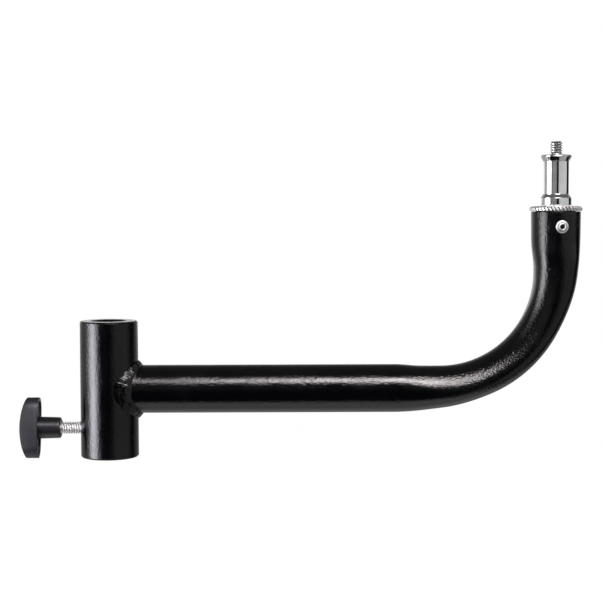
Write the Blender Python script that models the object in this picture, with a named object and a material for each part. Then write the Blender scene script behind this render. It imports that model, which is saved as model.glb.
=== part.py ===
# Offset extension arm for lights and grip gear.
# A thick receiver socket, clamped by a wing screw, carries a welded tube that bends upward
# to a baby stud. Metres, +Z up. The origin is the centre of the socket at its lower face,
# the arm runs towards +X and the stud stands at its end.

from math import asin, cos, pi, radians, sin, sqrt

import bmesh
import bpy
from mathutils import Matrix, Vector

mm = 0.001

# Clearances
seat_gap = 0.3 * mm            # between pieces that touch on the real arm
thread_gap = 0.3 * mm          # round the clamp screw in its tapped hole
cut_over = 1.0 * mm            # how far a cutter runs past the face it opens
same_place = 0.001 * mm        # points closer than this are one point

# Receiver socket
receiver_diameter = 30.0 * mm
receiver_height = 71.0 * mm
socket_diameter = 16.5 * mm    # takes a 16 mm stand stud
socket_chamfer = 1.0 * mm
receiver_chamfer = 0.3 * mm

# Arm tube
tube_diameter = 25.0 * mm
tube_wall = 2.0 * mm
tube_edge = 0.3 * mm           # broken edge at the tube's end
arm_height = 35.3 * mm         # tube axis above the socket's lower face
stud_offset = 232.5 * mm       # socket axis to stud axis
bend_radius = 60.0 * mm
tube_top = 127.05 * mm         # upper end of the tube above the socket's lower face

# How the bend changes the tube's section
outer_flattening = 4.1 * mm    # outside of the bend pulled in
side_bulge = 0.9 * mm          # sides pushed out
inner_press = 0.85 * mm        # inside of the bend, pressed by the bending former
inner_press_growth = 0.45 * mm # extra press at the upper end of the bend
flattening_run = 24.0 * mm     # half the length over which the outside eases in
recovery_run = 24.0 * mm       # half the length over which it eases out again
recovery_lead = 5.5 * mm       # its middle lies this far before the bend's end
press_lead = 16.5 * mm         # the former's mark begins this far before the bend
press_run = 7.0 * mm           # half the length of the former's mark, at each end
press_release = 10.0 * mm      # its upper mark lies this far past the bend

# Swaged upper end of the tube
mouth_diameter = 25.65 * mm
swage_length = 30.0 * mm

# Weld round the joint of tube and receiver
weld_leg = 3.5 * mm
weld_crown = 0.45 * mm
weld_ripple = 0.16 * mm
weld_ripples = 30

# End plug, pressed into the tube's upper end
plug_depth = 15.2 * mm
plug_diameter = 20.4 * mm
plug_chamfer = 1.0 * mm
flange_diameter = 27.0 * mm
flange_thickness = 2.6 * mm
flange_chamfer = 0.6 * mm
knurl_teeth = 42
knurl_depth = 0.5 * mm
knurl_slant = 0.8              # teeth that a groove crosses on its way up

# Spigot
spigot_diameter = 16.0 * mm    # top flange and collar
waist_diameter = 13.2 * mm
collar_height = 3.8 * mm
collar_cone = 2.3 * mm
waist_length = 16.6 * mm
flange_cone = 2.3 * mm
flange_height = 1.0 * mm
stud_edge = 0.3 * mm
stud_thread_diameter = 6.35 * mm
stud_thread_length = 7.0 * mm
stud_thread_chamfer = 0.7 * mm
shank_diameter = 8.0 * mm
shank_length = 14.0 * mm

# Blind rivet
rivet_drop = 7.9 * mm          # rivet centre below the tube's end
rivet_turn = radians(3.6)      # round the stud axis, from the arm's side
rivet_head_diameter = 6.6 * mm
rivet_head_height = 1.3 * mm
rivet_diameter = 3.2 * mm
rivet_grip = 5.6 * mm          # shank length under the head
mandrel_diameter = 1.8 * mm
mandrel_recess = 1.0 * mm      # broken end of the stem below the top of the head
mandrel_gap = 0.1 * mm         # between the stem and the rivet's bore
mandrel_head_length = 1.0 * mm

# Clamp screw and wing knob
clamp_height = 15.1 * mm       # screw axis above the socket's lower face
screw_diameter = 6.35 * mm
screw_chamfer = 0.6 * mm
screw_retreat = 0.5 * mm       # tip of the screw's pad behind the socket wall
knob_standoff = 10.3 * mm      # receiver to hub
wing_turn = radians(-11)       # round the screw, from upright
hub_length = 11.6 * mm
hub_diameter = 10.9 * mm
hub_root_diameter = 11.5 * mm
hub_edge = 1.0 * mm
wing_length = 31.6 * mm
wing_width = 13.0 * mm
wing_depth = 9.15 * mm
wing_end_radius = 6.0 * mm
wing_crown_radius = 42.0 * mm
wing_edge = 1.3 * mm
wing_wall = 1.8 * mm
pocket_depth = 5.0 * mm
web_thickness = 1.6 * mm
web_recess = 0.4 * mm
screw_socket_depth = 3.6 * mm  # how far the screw runs into the wing, past the hub's root

# Pressure pad on the screw's tip
pad_diameter = 4.6 * mm
pad_length = 2.6 * mm
pad_edge = 0.3 * mm
pad_neck_diameter = 2.4 * mm
pad_neck_length = 1.4 * mm

# Facets
receiver_steps = 64
tube_steps = 40
bend_steps = 15
stud_steps = 48
small_steps = 32

# Worked out from the sizes above
receiver_radius = receiver_diameter / 2
tube_radius = tube_diameter / 2
mouth_radius = mouth_diameter / 2
bend_start = stud_offset - bend_radius
bend_length = bend_radius * pi / 2
riser_length = tube_top - arm_height - bend_radius
flange_bottom = tube_top + seat_gap
flange_top = flange_bottom + flange_thickness
spigot_bottom = flange_top + seat_gap
rivet_height = tube_top - rivet_drop


def clear_scene():
    for old in list(bpy.data.objects):
        bpy.data.objects.remove(old, do_unlink=True)


def make_material(name, colour, roughness, metallic):
    material = bpy.data.materials.new(name)
    material.use_nodes = True
    shader = material.node_tree.nodes["Principled BSDF"]
    shader.inputs["Base Color"].default_value = (*colour, 1.0)
    shader.inputs["Roughness"].default_value = roughness
    shader.inputs["Metallic"].default_value = metallic
    material.diffuse_color = (*colour, 1.0)
    return material


def add_object(name, bm, material=None):
    bmesh.ops.recalc_face_normals(bm, faces=bm.faces)
    mesh = bpy.data.meshes.new(name)
    bm.to_mesh(mesh)
    bm.free()
    mesh.shade_smooth()
    mesh.set_sharp_from_angle(angle=radians(30))
    if material:
        mesh.materials.append(material)
    piece = bpy.data.objects.new(name, mesh)
    bpy.context.collection.objects.link(piece)
    return piece


def boolean(piece, tool, operation="DIFFERENCE"):
    modifier = piece.modifiers.new(tool.name, "BOOLEAN")
    modifier.operation = operation
    modifier.solver = "EXACT"
    modifier.object = tool
    tool.hide_render = True
    tool.display_type = "WIRE"


def turned(name, profile, steps, material=None, closed=False):
    # Turns a chain of (radius, height) points round Z. A chain that starts and ends on the
    # axis makes a solid piece, and a closed one makes a ring.
    bm = bmesh.new()
    points = [bm.verts.new((radius, 0, height)) for radius, height in profile]
    edges = [bm.edges.new(pair) for pair in zip(points, points[1:])]
    if closed:
        edges.append(bm.edges.new((points[-1], points[0])))
    bmesh.ops.spin(bm, geom=points + edges, axis=(0, 0, 1), cent=(0, 0, 0), dvec=(0, 0, 0),
                   angle=2 * pi, steps=steps, use_merge=True, use_duplicate=False)
    bmesh.ops.remove_doubles(bm, verts=bm.verts, dist=same_place)
    return add_object(name, bm, material)


def cylinder_tool(name, radius, low, high, steps):
    return turned(name, [(0, low), (radius, low), (radius, high), (0, high)], steps)


def arc(centre, radius, start, end, steps):
    # Points of an arc in a turned profile, from one angle to another.
    angles = [start + (end - start) * step / steps for step in range(steps + 1)]
    return [(centre[0] + radius * cos(a), centre[1] + radius * sin(a)) for a in angles]


def ease(value, middle, half_run):
    # Goes smoothly from 0 to 1 across the middle.
    share = (value - middle + half_run) / (2 * half_run)
    share = min(max(share, 0.0), 1.0)
    return share * share * (3 - 2 * share)


def evenly(start, end, count):
    return [start + (end - start) * step / count for step in range(count + 1)]


def bridge_rings(bm, rings, closed=False):
    loops = []
    for ring in rings:
        points = [bm.verts.new(point) for point in ring]
        loops.append([bm.edges.new(pair) for pair in zip(points, points[1:] + points[:1])])
    pairs = list(zip(loops, loops[1:]))
    if closed:
        pairs.append((loops[-1], loops[0]))
    for one, other in pairs:
        bmesh.ops.bridge_loops(bm, edges=one + other)


# Receiver socket

def make_receiver(material):
    outer = receiver_radius
    inner = socket_diameter / 2
    top = receiver_height
    profile = [
        (inner + socket_chamfer, top),
        (outer - receiver_chamfer, top),
        (outer, top - receiver_chamfer),
        (outer, receiver_chamfer),
        (outer - receiver_chamfer, 0),
        (inner + socket_chamfer, 0),
        (inner, socket_chamfer),
        (inner, top - socket_chamfer),
    ]
    receiver = turned("receiver", profile, receiver_steps, material, closed=True)
    hole = cylinder_tool("tapped_hole", screw_diameter / 2 + thread_gap,
                         -outer - cut_over, 0, small_steps)
    hole.rotation_euler = (0, pi / 2, 0)
    hole.location = (0, 0, clamp_height)
    boolean(receiver, hole)
    return receiver


# Arm tube

def path_frame(distance):
    # Centre of the tube and the direction to the outside of the bend, at a distance
    # along the tube that is measured from where the bend starts.
    if distance <= 0:
        return Vector((bend_start + distance, 0, arm_height)), Vector((0, 0, -1))
    if distance >= bend_length:
        rise = bend_radius + distance - bend_length
        return Vector((stud_offset, 0, arm_height + rise)), Vector((1, 0, 0))
    angle = distance / bend_radius
    outward = Vector((sin(angle), 0, -cos(angle)))
    return Vector((bend_start, 0, arm_height + bend_radius)) + bend_radius * outward, outward


def section_reach(distance):
    # Reach of the tube's section towards the inside, the outside and the sides of the bend.
    flattened = (ease(distance, 0, flattening_run)
                 - ease(distance, bend_length - recovery_lead, recovery_run))
    pressed = (ease(distance, -press_lead, press_run)
               - ease(distance, bend_length + press_release, press_run))
    swaged = ease(distance, bend_length + riser_length - swage_length / 2, swage_length / 2)
    along_bend = min(max(distance / bend_length, 0.0), 1.0)
    radius = tube_radius + (mouth_radius - tube_radius) * swaged
    inside = radius - (inner_press + inner_press_growth * along_bend) * pressed
    outside = radius - outer_flattening * flattened
    side = radius + side_bulge * flattened
    return inside, outside, side


def tube_ring(distance):
    centre, outward = path_frame(distance)
    inside, outside, side = section_reach(distance)
    ring = []
    for step in range(tube_steps):
        angle = 2 * pi * step / tube_steps
        reach = outside if cos(angle) > 0 else inside
        ring.append(centre + outward * reach * cos(angle) + Vector((0, side * sin(angle), 0)))
    return ring


def tube_distances():
    first_mark = -max(press_lead + press_run, flattening_run)
    top = bend_length + riser_length
    arm = [-bend_start] + evenly(first_mark, 0, 6)
    bend = evenly(0, bend_length, bend_steps)[1:]
    riser = evenly(bend_length, top, 9)[1:]
    return arm + bend + riser


def make_arm_tube(material):
    bm = bmesh.new()
    bridge_rings(bm, [tube_ring(distance) for distance in tube_distances()])
    tube = add_object("arm_tube", bm, material)

    wall = tube.modifiers.new("wall", "SOLIDIFY")
    wall.thickness = tube_wall
    wall.offset = -1
    wall.use_even_offset = True

    edge = tube.modifiers.new("broken_edge", "BEVEL")
    edge.width = tube_edge
    edge.segments = 1
    edge.limit_method = "ANGLE"
    edge.angle_limit = radians(60)

    cope = cylinder_tool("cope", receiver_radius + seat_gap,
                         -cut_over, receiver_height + cut_over, receiver_steps)
    boolean(tube, cope)

    hole = rivet_tool("tube_rivet_hole", mouth_radius - tube_wall - cut_over,
                      mouth_radius + cut_over)
    boolean(tube, hole)
    return tube


# Weld: a fillet that follows the saddle where the two round walls meet, with its ripples

def weld_section(turn, index):
    radius = tube_radius + seat_gap
    wall = receiver_radius + seat_gap
    side = radius * sin(turn)
    corner = Vector((sqrt(wall * wall - side * side), side, arm_height + radius * cos(turn)))
    receiver_normal = Vector((corner.x, corner.y, 0)) / wall
    tube_normal = Vector((0, sin(turn), cos(turn)))
    overlap = receiver_normal.dot(tube_normal)
    up_receiver = (tube_normal - overlap * receiver_normal).normalized()
    along_tube = (receiver_normal - overlap * tube_normal).normalized()
    crown = (receiver_normal + tube_normal).normalized()

    toe_receiver = onto_receiver(corner + up_receiver * weld_leg, wall)
    toe_tube = onto_tube(corner + along_tube * weld_leg, radius)
    middle_receiver = onto_receiver(corner + up_receiver * weld_leg / 2, wall)

    ring = [corner, middle_receiver, toe_receiver]
    for share in (0.2, 0.4, 0.6, 0.8):
        bow = 4 * share * (1 - share)
        phase = 2 * pi * (index / 4 - 0.35 * bow)
        rise = (weld_crown + weld_ripple * cos(phase)) * bow
        ring.append(toe_receiver.lerp(toe_tube, share) + crown * rise)
    ring.append(toe_tube)
    return ring


def onto_receiver(point, wall):
    flat = Vector((point.x, point.y)).normalized() * wall
    return Vector((flat.x, flat.y, point.z))


def onto_tube(point, radius):
    flat = Vector((point.y, point.z - arm_height)).normalized() * radius
    return Vector((point.x, flat.x, flat.y + arm_height))


def make_weld_bead(material):
    sections = 4 * weld_ripples
    bm = bmesh.new()
    rings = [weld_section(2 * pi * index / sections, index) for index in range(sections)]
    bridge_rings(bm, rings, closed=True)
    return add_object("weld_bead", bm, material)


# End plug with its knurled flange

def make_knurled_flange():
    outer = flange_diameter / 2
    root = outer - knurl_depth
    points = 4 * knurl_teeth
    bm = bmesh.new()
    outline = []
    for index in range(points):
        angle = 2 * pi * index / points
        radius = outer if index % 4 < 2 else root
        outline.append(bm.verts.new((radius * cos(angle), radius * sin(angle), flange_bottom)))
    face = bm.faces.new(outline)
    side = flange_thickness - flange_chamfer
    slant = -knurl_slant * 2 * pi / knurl_teeth
    inset = (outer - flange_chamfer) / outer
    for height, shrink in ((side, 1.0), (flange_chamfer, inset)):
        grown = bmesh.ops.extrude_face_region(bm, geom=[face, *face.edges])["geom"]
        face = next(item for item in grown if isinstance(item, bmesh.types.BMFace))
        moved = [item for item in grown if isinstance(item, bmesh.types.BMVert)]
        bmesh.ops.translate(bm, verts=moved, vec=(0, 0, height))
        bmesh.ops.rotate(bm, verts=moved, cent=(0, 0, 0),
                         matrix=Matrix.Rotation(slant * height / flange_thickness, 3, "Z"))
        bmesh.ops.scale(bm, verts=moved, vec=(shrink, shrink, 1))
    return add_object("end_plug", bm)


def make_end_plug(material):
    plug = make_knurled_flange()
    plug.data.materials.append(material)
    plug.location = (stud_offset, 0, 0)
    radius = plug_diameter / 2
    bottom = flange_bottom - plug_depth
    body = turned("plug_body", [
        (0, bottom),
        (radius - plug_chamfer, bottom),
        (radius, bottom + plug_chamfer),
        (radius, flange_bottom + flange_thickness / 2),
        (0, flange_bottom + flange_thickness / 2),
    ], stud_steps)
    body.location = plug.location
    boolean(plug, body, "UNION")

    bore = cylinder_tool("plug_bore", shank_diameter / 2 + seat_gap,
                         bottom - cut_over, flange_top + cut_over, small_steps)
    bore.location = plug.location
    bore.rotation_euler = (0, 0, pi / small_steps)
    boolean(plug, bore)

    hole = rivet_tool("plug_rivet_hole", rivet_end_radius() - seat_gap, mouth_radius)
    boolean(plug, hole)
    return plug


# Spigot: the stud that carries the light, turned from one bar

def make_spigot(material):
    outer = spigot_diameter / 2
    waist = waist_diameter / 2
    thread = stud_thread_diameter / 2
    shank = shank_diameter / 2
    bottom = spigot_bottom
    collar_top = bottom + collar_height
    waist_low = collar_top + collar_cone
    waist_high = waist_low + waist_length
    flange_low = waist_high + flange_cone
    top = flange_low + flange_height
    tip = top + stud_thread_length
    spigot = turned("spigot", [
        (0, bottom - shank_length),
        (shank - stud_edge, bottom - shank_length),
        (shank, bottom - shank_length + stud_edge),
        (shank, bottom),
        (outer - stud_edge, bottom),
        (outer, bottom + stud_edge),
        (outer, collar_top),
        (waist, waist_low),
        (waist, waist_high),
        (outer - stud_edge, flange_low - stud_edge),
        (outer, flange_low),
        (outer, top - stud_edge),
        (outer - stud_edge, top),
        (thread, top),
        (thread, tip - stud_thread_chamfer),
        (thread - stud_thread_chamfer, tip),
        (0, tip),
    ], stud_steps, material)
    spigot.location = (stud_offset, 0, 0)
    return spigot


# Blind rivet: its local Z runs out of the tube, from the stud axis

def place_on_rivet_axis(piece):
    piece.rotation_euler = (pi / 2, 0, rivet_turn)
    piece.location = (stud_offset, 0, rivet_height)


def rivet_tool(name, low, high):
    tool = cylinder_tool(name, rivet_diameter / 2 + seat_gap, low, high, small_steps)
    place_on_rivet_axis(tool)
    return tool


def rivet_seat_radius():
    return mouth_radius + seat_gap


def rivet_end_radius():
    return rivet_seat_radius() - rivet_grip - mandrel_head_length


def make_rivet_body(material):
    seat = rivet_seat_radius()
    head = rivet_head_diameter / 2
    shank = rivet_diameter / 2
    bore = mandrel_diameter / 2 + mandrel_gap
    rim = 0.3 * rivet_head_height
    land = bore + 0.25 * (head - bore)
    dome_height = rivet_head_height - rim
    dome = [(land + (head - land) * sin(a), seat + rim + dome_height * cos(a))
            for a in evenly(pi / 2, 0, 5)]
    rivet = turned("rivet_body", [
        (shank, seat - rivet_grip),
        (shank, seat),
        (head, seat),
        *dome,
        (bore, seat + rivet_head_height),
        (bore, seat - rivet_grip),
    ], small_steps, material, closed=True)
    place_on_rivet_axis(rivet)
    return rivet


def make_rivet_mandrel(material):
    stem = mandrel_diameter / 2
    head = rivet_diameter / 2
    head_top = rivet_seat_radius() - rivet_grip - mandrel_gap
    broken = rivet_seat_radius() + rivet_head_height - mandrel_recess
    mandrel = turned("rivet_mandrel", [
        (0, rivet_end_radius()),
        (stem, rivet_end_radius()),
        (head, rivet_end_radius() + mandrel_head_length / 2),
        (head, head_top),
        (stem, head_top),
        (stem, broken - stem / 3),
        (0, broken),
    ], small_steps, material)
    place_on_rivet_axis(mandrel)
    return mandrel


# Clamp screw, wing knob and pressure pad. Their origin lies on the screw's axis, where it
# meets the receiver's outer face, and their local Z runs into the socket.

def make_clamp_axis():
    axis = bpy.data.objects.new("clamp_axis", None)
    axis.location = (-receiver_radius, 0, clamp_height)
    axis.rotation_mode = "ZYX"
    axis.rotation_euler = (0, pi / 2, wing_turn)
    bpy.context.collection.objects.link(axis)
    return axis


def pad_face():
    return receiver_radius - socket_diameter / 2 - screw_retreat


def screw_tip():
    return pad_face() - pad_length - seat_gap


def screw_root():
    return -knob_standoff - hub_length - screw_socket_depth


def make_clamp_screw(material, axis):
    radius = screw_diameter / 2
    neck = pad_neck_diameter / 2
    screw = turned("clamp_screw", [
        (0, screw_root()),
        (radius, screw_root()),
        (radius, screw_tip() - screw_chamfer),
        (radius - screw_chamfer, screw_tip()),
        (neck, screw_tip()),
        (neck, screw_tip() + pad_neck_length),
        (0, screw_tip() + pad_neck_length),
    ], small_steps, material)
    screw.parent = axis
    return screw


def make_pressure_pad(material, axis):
    radius = pad_diameter / 2
    socket = pad_neck_diameter / 2 + seat_gap
    back = pad_face() - pad_length
    floor = screw_tip() + pad_neck_length + seat_gap
    pad = turned("pressure_pad", [
        (0, floor),
        (socket, floor),
        (socket, back),
        (radius - pad_edge, back),
        (radius, back + pad_edge),
        (radius, pad_face() - pad_edge),
        (radius - pad_edge, pad_face()),
        (0, pad_face()),
    ], small_steps, material)
    pad.parent = axis
    return pad


def wing_outline(shrink):
    # Outline of the wing seen along the screw: straight sides and round ends, as (side, up).
    half_width = wing_width / 2 - shrink
    half_length = wing_length / 2 - shrink
    radius = wing_end_radius - shrink
    right = [(half_width - radius + radius * sin(a), half_length - radius + radius * cos(a))
             for a in evenly(0, pi / 2, 6)]
    straight = evenly(half_length - radius, radius - half_length, 6)[1:-1]
    right += [(half_width, height) for height in straight]
    right += [(side, -up) for side, up in reversed(right[:7])]
    left = [(-side, up) for side, up in reversed(right)]
    return right + left


def wing_crown(up):
    # How far the front of the wing falls back from its middle, at a height along the wing.
    return wing_crown_radius * (1 - cos(asin(up / wing_crown_radius)))


def wing_block(name, low, high, shrink):
    # The wing's outline as a straight block along the screw's axis. The wing lies along
    # local X, which is the object's -Z at rest.
    bm = bmesh.new()
    face = bm.faces.new([bm.verts.new((up, side, low)) for side, up in wing_outline(shrink)])
    grown = bmesh.ops.extrude_face_region(bm, geom=[face])["geom"]
    top = [item for item in grown if isinstance(item, bmesh.types.BMVert)]
    bmesh.ops.translate(bm, verts=top, vec=(0, 0, high - low))
    return add_object(name, bm)


def make_wing(back):
    bm = bmesh.new()
    outline = wing_outline(0)
    back_face = bm.faces.new([bm.verts.new((up, side, back)) for side, up in outline])
    grown = bmesh.ops.extrude_face_region(bm, geom=[back_face])["geom"]
    front = [item for item in grown if isinstance(item, bmesh.types.BMVert)]
    for vert in front:
        vert.co.z = back - wing_depth + wing_crown(vert.co.x)
    half_length = wing_length / 2
    for vert in front:
        mirrored = Vector((vert.co.x, -vert.co.y, vert.co.z))
        partner = min(front, key=lambda other: (other.co - mirrored).length)
        if vert.co.y > 0 and abs(vert.co.x) < half_length - same_place:
            bmesh.ops.connect_verts(bm, verts=[vert, partner])
    rim = [edge for edge in bm.edges
           if all(vert in front for vert in edge.verts)
           and any(vert not in front for face in edge.link_faces for vert in face.verts)]
    bmesh.ops.bevel(bm, geom=rim, offset=wing_edge, segments=3, profile=0.5,
                    affect="EDGES", clamp_overlap=True, material=-1)
    return add_object("clamp_knob", bm)


def make_clamp_knob(material, axis):
    hub_end = -knob_standoff
    back = hub_end - hub_length
    knob = make_wing(back)
    knob.data.materials.append(material)
    knob.parent = axis

    floor = back - pocket_depth
    pocket = wing_block("knob_pocket", floor, back + cut_over, wing_wall)
    boolean(knob, pocket)

    end = hub_diameter / 2
    root = hub_root_diameter / 2
    sunk = floor - wing_wall / 2
    hub = turned("knob_hub", [
        (0, sunk),
        (root, sunk),
        (root, back),
        *arc((end - hub_edge, hub_end - hub_edge), hub_edge, 0, pi / 2, 4),
        (0, hub_end),
    ], small_steps)
    boolean(knob, hub, "UNION")

    web = make_web(sunk, back - web_recess)
    boolean(knob, web, "UNION")

    socket = cylinder_tool("knob_screw_socket", screw_diameter / 2 + seat_gap,
                           screw_root() - seat_gap, hub_end + cut_over, small_steps)
    boolean(knob, socket)
    for tool in (pocket, hub, web, socket):
        tool.parent = axis
    return knob


def make_web(low, high):
    bm = bmesh.new()
    bmesh.ops.create_cube(bm, size=1)
    length = wing_length - wing_wall
    bmesh.ops.scale(bm, verts=bm.verts, vec=(length, web_thickness, high - low))
    bmesh.ops.translate(bm, verts=bm.verts, vec=(0, 0, (low + high) / 2))
    return add_object("knob_web", bm)


def build_arm():
    clear_scene()
    black_paint = make_material("black_paint", (0.012, 0.012, 0.013), 0.3, 0.0)
    weld_paint = make_material("weld_paint", (0.014, 0.014, 0.015), 0.28, 0.0)
    zinc = make_material("bright_zinc", (0.72, 0.72, 0.72), 0.3, 1.0)
    chrome = make_material("chrome", (0.62, 0.62, 0.63), 0.12, 1.0)
    rivet_metal = make_material("rivet_aluminium", (0.8, 0.8, 0.8), 0.35, 1.0)
    stem_steel = make_material("stem_steel", (0.25, 0.25, 0.25), 0.5, 1.0)
    screw_zinc = make_material("screw_zinc", (0.75, 0.75, 0.74), 0.3, 1.0)
    knob_plastic = make_material("knob_plastic", (0.03, 0.03, 0.032), 0.5, 0.0)
    pad_brass = make_material("pad_brass", (0.7, 0.55, 0.28), 0.35, 1.0)

    make_receiver(black_paint)
    make_arm_tube(black_paint)
    make_weld_bead(weld_paint)
    make_end_plug(zinc)
    make_spigot(chrome)
    make_rivet_body(rivet_metal)
    make_rivet_mandrel(stem_steel)

    clamp_axis = make_clamp_axis()
    make_clamp_screw(screw_zinc, clamp_axis)
    make_clamp_knob(knob_plastic, clamp_axis)
    make_pressure_pad(pad_brass, clamp_axis)


build_arm()
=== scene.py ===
from math import atan2, ceil, cos, exp, pi, radians, sin, sqrt

import bmesh
import bpy
from mathutils import Matrix, Vector, noise


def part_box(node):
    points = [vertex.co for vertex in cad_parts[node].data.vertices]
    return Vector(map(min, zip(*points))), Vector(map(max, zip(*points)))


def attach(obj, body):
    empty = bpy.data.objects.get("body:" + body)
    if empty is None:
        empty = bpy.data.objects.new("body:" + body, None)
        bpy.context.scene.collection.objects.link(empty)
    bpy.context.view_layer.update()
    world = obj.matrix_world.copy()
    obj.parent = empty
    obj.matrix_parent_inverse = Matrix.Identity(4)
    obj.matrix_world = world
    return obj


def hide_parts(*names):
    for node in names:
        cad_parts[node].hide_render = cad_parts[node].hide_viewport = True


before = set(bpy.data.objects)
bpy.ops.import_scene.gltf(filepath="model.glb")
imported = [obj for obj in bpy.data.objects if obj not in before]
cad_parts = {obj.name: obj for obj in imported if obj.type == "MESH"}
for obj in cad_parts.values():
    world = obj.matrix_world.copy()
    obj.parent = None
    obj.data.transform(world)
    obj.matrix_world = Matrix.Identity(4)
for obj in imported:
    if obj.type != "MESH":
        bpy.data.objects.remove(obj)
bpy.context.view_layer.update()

mm = 0.001
samePlace = 0.001 * mm
cutOver = 1.0 * mm  # how far a cutter runs past the face it opens
scene = bpy.context.scene
scene.view_settings.view_transform = "Standard"


# Camera, at the photograph's viewing angle

cameraView = {
    "place": (0.095075, -0.731742, 0.122872),
    "turn": -0.4098,  # degrees round the vertical
    "pitch": -3.301,  # degrees above the horizon
    "roll": -0.159,
    "lens": 84.09,
    "sensor": 36.0,
}


def makeCamera(view):
    data = bpy.data.cameras.new("camera")
    data.lens = view["lens"]
    data.sensor_width = view["sensor"]
    data.clip_start = 0.01
    data.clip_end = 30
    camera = bpy.data.objects.new("camera", data)
    scene.collection.objects.link(camera)
    camera.matrix_world = (
        Matrix.Translation(view["place"])
        @ Matrix.Rotation(radians(view["turn"]), 4, "Z")
        @ Matrix.Rotation(radians(90 + view["pitch"]), 4, "X")
        @ Matrix.Rotation(radians(view["roll"]), 4, "Z")
    )
    scene.camera = camera


makeCamera(cameraView)
print("camera placed")


# Shader maths

class Shade:
    # Wraps one output socket, so that sums on it add Math nodes.
    def __init__(self, tree, socket=None):
        self.tree = tree
        self.socket = socket

    def node(self, kind, settings=None, inputs=None, output=0):
        made = self.tree.nodes.new(kind)
        for name, value in (settings or {}).items():
            setattr(made, name, value)
        for name, value in (inputs or {}).items():
            if isinstance(value, Shade):
                self.tree.links.new(value.socket, made.inputs[name])
            else:
                made.inputs[name].default_value = value
        return Shade(self.tree, made.outputs[output] if made.outputs else None)

    def math(self, operation, *values):
        return self.node("ShaderNodeMath", {"operation": operation}, dict(enumerate(values)))

    def __add__(self, other):
        return self.math("ADD", self, other)

    def __sub__(self, other):
        return self.math("SUBTRACT", self, other)

    def __rsub__(self, other):
        return self.math("SUBTRACT", other, self)

    def __mul__(self, other):
        return self.math("MULTIPLY", self, other)

    __radd__ = __add__
    __rmul__ = __mul__

    def parts(self):
        # The three numbers of a vector.
        split = self.node("ShaderNodeSeparateXYZ", {}, {"Vector": self}, "X")
        outputs = split.socket.node.outputs
        return [Shade(self.tree, outputs[name]) for name in ("X", "Y", "Z")]

    def between(self, low, high):
        # 0 below low, 1 above high, and smooth in between.
        return self.node("ShaderNodeMapRange", {"interpolation_type": "SMOOTHSTEP"},
                         {"Value": self, "From Min": low, "From Max": high})

    def within(self, low, high, soft):
        return self.between(low - soft, low + soft) - self.between(high - soft, high + soft)

    def grain(self, scale, detail, roughness, distortion=0.0):
        return self.node("ShaderNodeTexNoise", {}, {
            "Vector": self, "Scale": scale, "Detail": detail,
            "Roughness": roughness, "Distortion": distortion})

    def lines(self, scale, roughness):
        # Noise that changes with one number only.
        return self.node("ShaderNodeTexNoise", {"noise_dimensions": "1D"}, {
            "W": self, "Scale": scale, "Detail": 3.0, "Roughness": roughness})

    def bump(self, distance):
        return self.node("ShaderNodeBump", {}, {
            "Strength": 1.0, "Distance": distance, "Height": self})


# Studio: a pale room behind and below, a dark front, and three soft lamps. Panels are given
# in degrees seen from the object: azimuth 0 is towards the camera and 90 to the right.

studio = {
    "ambient": 0.006,
    "panels": {  # azimuth from, to, softness; elevation from, to, softness; brightness
        "leftLow": (-400, -103, 5, -40, -4, 1.5, 0.42),
        "leftHorizon": (-400, -103, 5, -4, 9, 1.5, 0.40),
        "leftHorizonFar": (-400, -137, 11, -4, 9, 1.5, 0.65),
        "leftUpper": (-400, -112, 12, 9, 31, 4, 0.34),
        "leftNear": (-103, -82, 6, -60, 24, 8, 0.75),
        "rightLow": (123, 400, 4, -40, -4, 1.5, 0.27),
        "rightHorizon": (133, 400, 4, -4, 9, 1.5, 0.42),
        "rightHorizonFar": (150, 400, 9, -4, 9, 1.5, 0.60),
        "rightUpper": (125, 400, 12, 9, 31, 4, 0.34),
        "upper": (-400, 400, 1, 31, 120, 5, 0.12),
        "sideLow": (24, 93, 6, -56, -0.6, 0.7, 0.38),
        "sideHigh": (13, 98, 3, -0.6, 42, 0.7, 0.60),
        "sideGlow": (-88, -60, 10, -2.6, 17, 1.5, 7.5),
        "sideGlowHigh": (-88, -60, 10, 17, 32, 6, 1.8),
        "frontGrey": (-46, -5, 3, -0.4, 26, 0.7, 0.27),
        "table": (-400, 400, 1, -120, -62, 2.5, 0.72),
        "tableFront": (-90, 90, 25, -120, -62, 2.5, 0.34),
        "tableLeft": (-400, -84, 10, -62, -40, 3, 0.66),
        "tableRight": (112, 400, 10, -62, -40, 3, 0.66),
    },
    "lamps": {  # place, target, width, height, brightness in the middle, colour, in gloss
        "sideLamp": ((-0.359, -0.219, -0.03), (0.0, 0.0, -0.01), 0.42, 0.46, 18,
                     (0.97, 0.97, 1.06), True),
        "topLamp": ((0.28, -0.70, 0.73), (0.13, 0.0, 0.04), 1.05, 0.50, 33,
                    (1.05, 0.985, 0.99), True),
        "frontFill": ((0.45, -1.6, 0.70), (0.1, 0.0, 0.06), 1.8, 1.4, 0.7,
                      (1.0, 1.0, 1.0), False),
    },
}


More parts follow.
